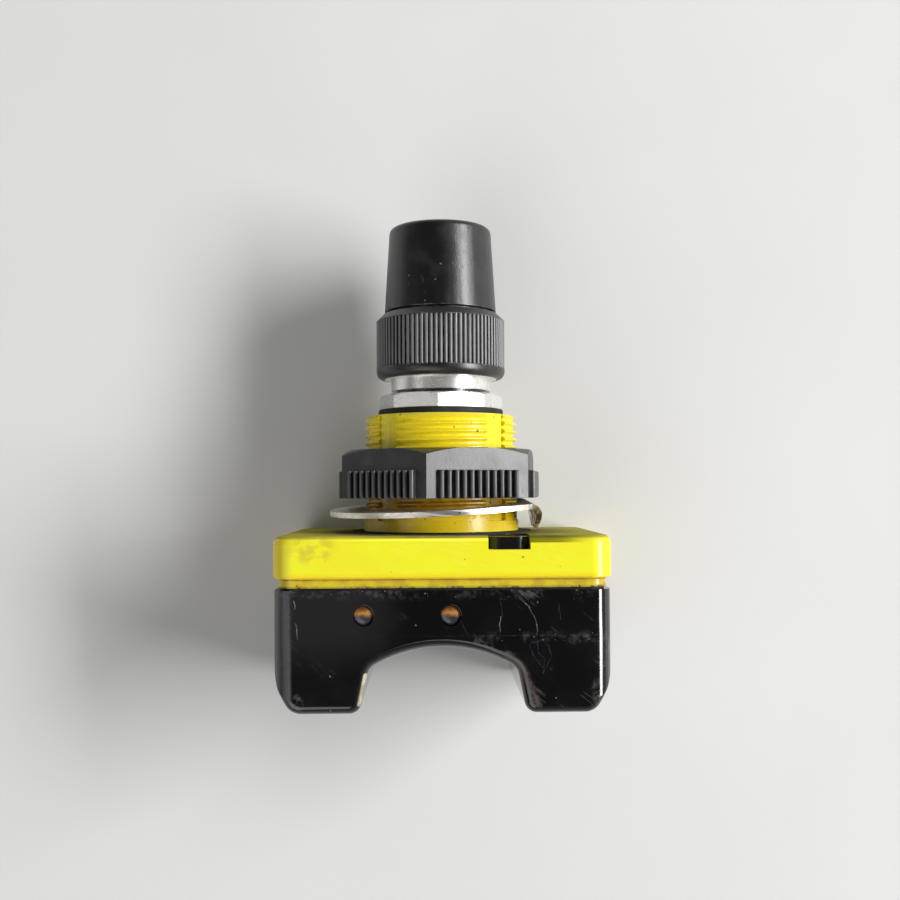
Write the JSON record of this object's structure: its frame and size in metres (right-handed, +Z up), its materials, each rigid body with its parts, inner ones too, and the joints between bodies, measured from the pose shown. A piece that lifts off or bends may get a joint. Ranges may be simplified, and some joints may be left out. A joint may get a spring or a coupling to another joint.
{
  "type": "safety touch button",
  "caption": "Optical touch button for a machine's hand control: yellow base with a threaded stem, black towers round an arched finger gap, panel nut, lock washer and screwed connector.",
  "frame": {"origin": "on the stem's axis, in the plane of the panel gasket's face, where the panel seats", "axes": "+Y along the stem into the panel, -Y towards the operator and the towers' ends, +Z up, out of the face with the indicators"},
  "size_m": [0.061, 0.0915, 0.045],
  "materials": {
    "yellow_plastic": "moulded, satin gloss, worn and stained at the edges",
    "black_gloss": "moulded, polished, with fine scratches",
    "black_nut": "moulded, matte",
    "black_plug": "moulded, satin",
    "rubber_black": "plain",
    "steel": "worn, lightly brushed",
    "nickel": "bright nickel plate",
    "insulator": "moulded",
    "contact": "gold flash",
    "board": "solder mask",
    "amber": "clear tinted",
    "infrared": "dark tinted",
    "package": "moulded",
    "can": "plain",
    "resin": "cast",
    "brown": "insulation",
    "white": "insulation",
    "blue": "insulation",
    "black": "insulation",
    "grey": "insulation"
  },
  "bodies": {
    "device": {"base_housing": "yellow_plastic", "upper_housing": "black_gloss", "housing_seal": "rubber_black", "panel_gasket": "rubber_black", "receptacle_shell": "nickel", "receptacle_gasket": "rubber_black", "receptacle_insert": "insulator", "contact_pins": "contact", "control_board": "board", "emitter_board": "board", "receiver_board": "board", "beam_emitter": "infrared", "beam_receiver": "infrared", "power_led": "amber", "output_led": "amber", "led_holders": "package", "controller_chips": "package", "output_switches": "package", "smoothing_capacitor": "can", "potting_compound": "resin", "wire_brown": "brown", "wire_white": "white", "wire_blue": "blue", "wire_black": "black", "wire_grey": "grey"},
    "washer": {"lock_washer": "steel"},
    "nut": {"mounting_nut": "black_nut"},
    "plug": {"plug_body": "black_plug", "plug_insert": "insulator", "plug_sockets": "contact", "plug_seal": "rubber_black"},
    "coupling": {"coupling_nut": "black_plug"}
  },
  "joints": [
    {"name": "washer_slide", "type": "slide", "parent": "device", "child": "washer", "axis": [0, 1, 0], "range_m": [0, 0.01501]},
    {"name": "nut_turn", "type": "hinge", "parent": "washer", "child": "nut", "pos_m": [0, 0, 0], "axis": [0, 1, 0], "range_deg": [0, 3600]},
    {"name": "plug_slide", "type": "slide", "parent": "device", "child": "plug", "axis": [0, 1, 0], "range_m": [0, 0.00795]},
    {"name": "coupling_turn", "type": "hinge", "parent": "plug", "child": "coupling", "pos_m": [0, 0, 0], "axis": [0, 1, 0], "range_deg": [0, 1800]}
  ],
  "couplings": [
    {"joint": "washer_slide", "follows": "nut_turn", "m_per_rad": 0.00023873},
    {"joint": "plug_slide", "follows": "coupling_turn", "m_per_rad": 0.00025266}
  ]
}
